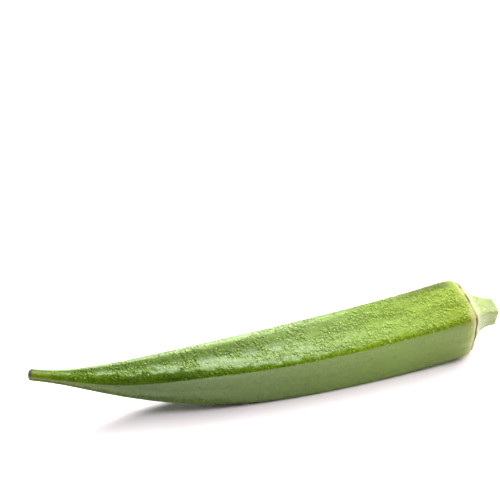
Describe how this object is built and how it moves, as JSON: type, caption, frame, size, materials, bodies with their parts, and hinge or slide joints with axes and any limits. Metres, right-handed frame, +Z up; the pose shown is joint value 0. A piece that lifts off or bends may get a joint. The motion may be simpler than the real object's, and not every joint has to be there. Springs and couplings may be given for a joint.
{
  "type": "okra pod",
  "caption": "Fresh okra pod, ridged and tapering to a raised tip, with a scarred rim and a short cut stalk, lying on its side.",
  "frame": {"origin": "the middle of the pod's bounding box, at the surface it rests on", "axes": "+X from the tip to the cut stalk, +Z up from the surface it rests on"},
  "size_m": [0.1248, 0.0212, 0.02],
  "materials": {
    "okra_skin": "fresh green plant skin, softly waxy with fine down, paler on the stalk and brown at the tip"
  },
  "bodies": {
    "root": {"okra_pod": "okra_skin"}
  },
  "joints": []
}
